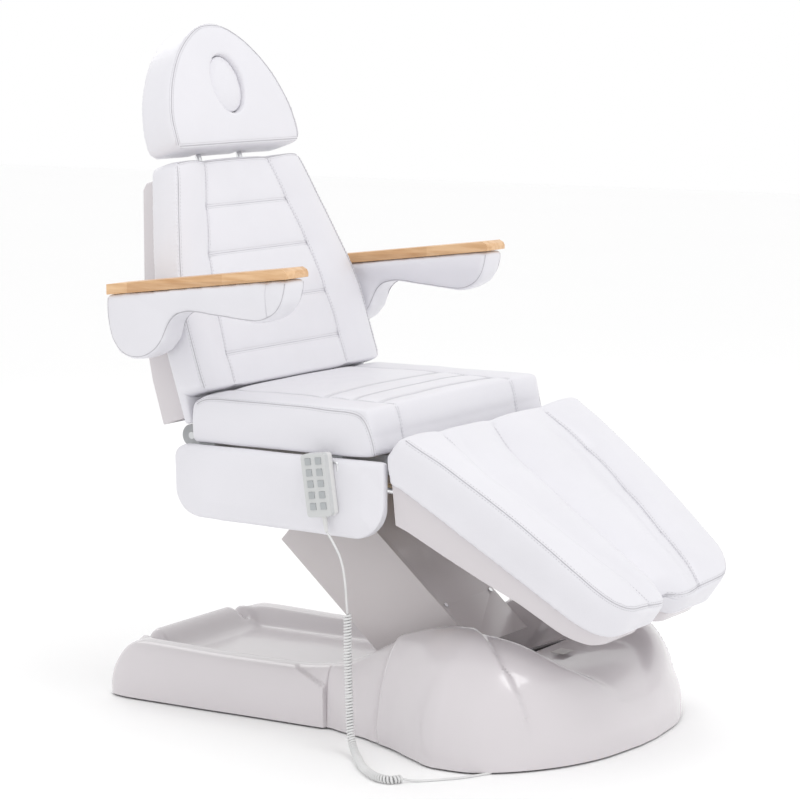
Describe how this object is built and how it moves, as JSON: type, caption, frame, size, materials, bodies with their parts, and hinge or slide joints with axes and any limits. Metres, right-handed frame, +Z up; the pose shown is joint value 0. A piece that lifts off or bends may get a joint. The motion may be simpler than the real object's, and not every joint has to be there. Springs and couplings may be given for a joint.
{
  "type": "facial treatment bed",
  "caption": "Cushioned treatment bed with tilting back, hinged leg rest, folding wood-capped armrests, sliding headrest, hand control and a parallelogram lift on a moulded base.",
  "frame": {"origin": "on the floor, below the middle of the bed's bounding box", "axes": "+Z up, -Y towards the foot end, +X towards the sitter's left"},
  "size_m": [0.9079, 1.1818, 1.3479],
  "materials": {
    "white_leatherette": "satin, fine pebble grain",
    "moulded_shell": "gloss",
    "column_plastic": "semi-gloss",
    "painted_steel": "satin powder coat",
    "zinc_steel": "zinc plated",
    "chrome": "polished",
    "plywood": "raw birch plywood",
    "beech": "oiled beech",
    "motor_housing": "fine texture",
    "foot_rubber": "matt",
    "plate_film": "blank",
    "handset_grey": "satin",
    "handset_face": "satin",
    "circuit_board": "matt",
    "key_grey": "membrane",
    "cord_sheath": "satin"
  },
  "bodies": {
    "base": {"base_shell": "moulded_shell", "base_frame": "painted_steel", "levelling_feet": "foot_rubber", "foot_nuts": "zinc_steel", "lift_bracket": "painted_steel", "base_pins": "zinc_steel", "control_box": "motor_housing", "mains_inlet": "motor_housing", "rating_plate": "plate_film", "cord_coil": "cord_sheath", "cord_tail": "cord_sheath"},
    "lift_arm": {"lift_arm": "painted_steel", "column_cover": "column_plastic", "cover_screws": "chrome"},
    "level_link": {"level_link": "painted_steel"},
    "lift_motor": {"lift_actuator_body": "motor_housing"},
    "lift_rod": {"lift_actuator_rod": "chrome"},
    "seat": {"seat_carrier": "painted_steel", "carrier_pins": "zinc_steel", "seat_board": "plywood", "seat_cushion": "white_leatherette", "apron_left": "white_leatherette", "apron_right": "white_leatherette", "handset_hook": "chrome"},
    "leg_motor": {"leg_actuator_body": "motor_housing"},
    "leg_rod": {"leg_actuator_rod": "chrome"},
    "back_motor": {"back_actuator_body": "motor_housing"},
    "back_rod": {"back_actuator_rod": "chrome"},
    "back": {"back_frame": "painted_steel", "back_board": "plywood", "back_cushion": "white_leatherette", "back_shell": "moulded_shell", "rod_guides": "painted_steel"},
    "headrest": {"headrest_rods": "chrome", "rod_clamps": "painted_steel", "headrest_board": "plywood", "headrest_cushion": "white_leatherette"},
    "plug": {"face_plug": "white_leatherette"},
    "leg_rest": {"leg_frame": "painted_steel", "leg_shell": "moulded_shell", "leg_cushion": "white_leatherette"},
    "arm_left": {"armrest_left": "white_leatherette", "arm_cap_left": "beech"},
    "arm_right": {"armrest_right": "white_leatherette", "arm_cap_right": "beech"},
    "handset": {"handset_back": "handset_grey", "handset_front": "handset_face", "handset_board": "circuit_board", "strain_relief": "handset_grey", "cord_lead": "cord_sheath"},
    "key_1": {"handset_button_1": "key_grey"},
    "key_2": {"handset_button_2": "key_grey"},
    "key_3": {"handset_button_3": "key_grey"},
    "key_4": {"handset_button_4": "key_grey"},
    "key_5": {"handset_button_5": "key_grey"},
    "key_6": {"handset_button_6": "key_grey"},
    "key_7": {"handset_button_7": "key_grey"},
    "key_8": {"handset_button_8": "key_grey"},
    "key_9": {"handset_button_9": "key_grey"},
    "key_10": {"handset_button_10": "key_grey"}
  },
  "joints": [
    {"name": "lift", "type": "hinge", "parent": "base", "child": "lift_arm", "pos_m": [0, -0.117, 0.13], "axis": [1, 0, 0], "range_deg": [-5.5, 25], "deforming": ["cord_coil"]},
    {"name": "seat_level", "type": "hinge", "parent": "lift_arm", "child": "seat", "pos_m": [0, 0.26796, 0.47059], "axis": [1, 0, 0], "range_deg": [-25, 5.5]},
    {"name": "link_level", "type": "hinge", "parent": "base", "child": "level_link", "pos_m": [0, -0.16007, 0.17868], "axis": [1, 0, 0], "range_deg": [-5.5, 25]},
    {"name": "lift_motor_tilt", "type": "hinge", "parent": "base", "child": "lift_motor", "pos_m": [0, -0.013, 0.064], "axis": [1, 0, 0], "range_deg": [-6, 24]},
    {"name": "lift_rod_travel", "type": "slide", "parent": "lift_motor", "child": "lift_rod", "axis": [0, 0.5448, 0.8385], "range_m": [-0.013, 0.056]},
    {"name": "leg_tilt", "type": "hinge", "parent": "seat", "child": "leg_rest", "pos_m": [0, -0.0894, 0.528], "axis": [1, 0, 0], "range_deg": [-36.1, 3]},
    {"name": "leg_motor_tilt", "type": "hinge", "parent": "seat", "child": "leg_motor", "pos_m": [-0.125, 0.262, 0.485], "axis": [1, 0, 0], "range_deg": [-4, 1]},
    {"name": "leg_rod_travel", "type": "slide", "parent": "leg_motor", "child": "leg_rod", "axis": [0, -0.9963, -0.0858], "range_m": [-0.004, 0.041]},
    {"name": "back_recline", "type": "hinge", "parent": "seat", "child": "back", "pos_m": [0, 0.33768, 0.5525], "axis": [1, 0, 0], "range_deg": [-72.5, 0]},
    {"name": "back_motor_tilt", "type": "hinge", "parent": "seat", "child": "back_motor", "pos_m": [0.125, -0.028, 0.472], "axis": [1, 0, 0], "range_deg": [-0.1, 8.2]},
    {"name": "back_rod_travel", "type": "slide", "parent": "back_motor", "child": "back_rod", "axis": [0, 0.9981, -0.0618], "range_m": [-0.122, 0.001]},
    {"name": "headrest_slide", "type": "slide", "parent": "back", "child": "headrest", "axis": [0, 0.3007, 0.9537], "range_m": [0, 0.1]},
    {"name": "face_plug_pull", "type": "slide", "parent": "headrest", "child": "plug", "axis": [0, -0.9537, 0.3007], "range_m": [0, 0.09]},
    {"name": "arm_left_fold", "type": "hinge", "parent": "back", "child": "arm_left", "pos_m": [0, 0.40104, 0.76676], "axis": [1, 0, 0], "range_deg": [-100, 0]},
    {"name": "arm_right_fold", "type": "hinge", "parent": "back", "child": "arm_right", "pos_m": [0, 0.40104, 0.76676], "axis": [1, 0, 0], "range_deg": [-100, 0]},
    {"name": "handset_lift", "type": "slide", "parent": "seat", "child": "handset", "axis": [0, 0, 1], "range_m": [0, 0.06], "deforming": ["cord_lead"]},
    {"name": "key_1_press", "type": "slide", "parent": "handset", "child": "key_1", "axis": [1, 0, 0], "range_m": [0, 0.0008], "stiffness_N_per_m": 700},
    {"name": "key_2_press", "type": "slide", "parent": "handset", "child": "key_2", "axis": [1, 0, 0], "range_m": [0, 0.0008], "stiffness_N_per_m": 700},
    {"name": "key_3_press", "type": "slide", "parent": "handset", "child": "key_3", "axis": [1, 0, 0], "range_m": [0, 0.0008], "stiffness_N_per_m": 700},
    {"name": "key_4_press", "type": "slide", "parent": "handset", "child": "key_4", "axis": [1, 0, 0], "range_m": [0, 0.0008], "stiffness_N_per_m": 700},
    {"name": "key_5_press", "type": "slide", "parent": "handset", "child": "key_5", "axis": [1, 0, 0], "range_m": [0, 0.0008], "stiffness_N_per_m": 700},
    {"name": "key_6_press", "type": "slide", "parent": "handset", "child": "key_6", "axis": [1, 0, 0], "range_m": [0, 0.0008], "stiffness_N_per_m": 700},
    {"name": "key_7_press", "type": "slide", "parent": "handset", "child": "key_7", "axis": [1, 0, 0], "range_m": [0, 0.0008], "stiffness_N_per_m": 700},
    {"name": "key_8_press", "type": "slide", "parent": "handset", "child": "key_8", "axis": [1, 0, 0], "range_m": [0, 0.0008], "stiffness_N_per_m": 700},
    {"name": "key_9_press", "type": "slide", "parent": "handset", "child": "key_9", "axis": [1, 0, 0], "range_m": [0, 0.0008], "stiffness_N_per_m": 700},
    {"name": "key_10_press", "type": "slide", "parent": "handset", "child": "key_10", "axis": [1, 0, 0], "range_m": [0, 0.0008], "stiffness_N_per_m": 700}
  ],
  "couplings": [
    {"joint": "seat_level", "follows": "lift", "ratio": -1},
    {"joint": "link_level", "follows": "lift", "ratio": 1},
    {"joint": "lift_motor_tilt", "follows": "lift", "ratio": 0.93},
    {"joint": "lift_rod_travel", "follows": "lift", "m_per_rad": 0.1212},
    {"joint": "leg_motor_tilt", "follows": "leg_tilt", "ratio": 0.11},
    {"joint": "leg_rod_travel", "follows": "leg_tilt", "m_per_rad": -0.0636},
    {"joint": "back_motor_tilt", "follows": "back_recline", "ratio": -0.109},
    {"joint": "back_rod_travel", "follows": "back_recline", "m_per_rad": 0.0951}
  ]
}
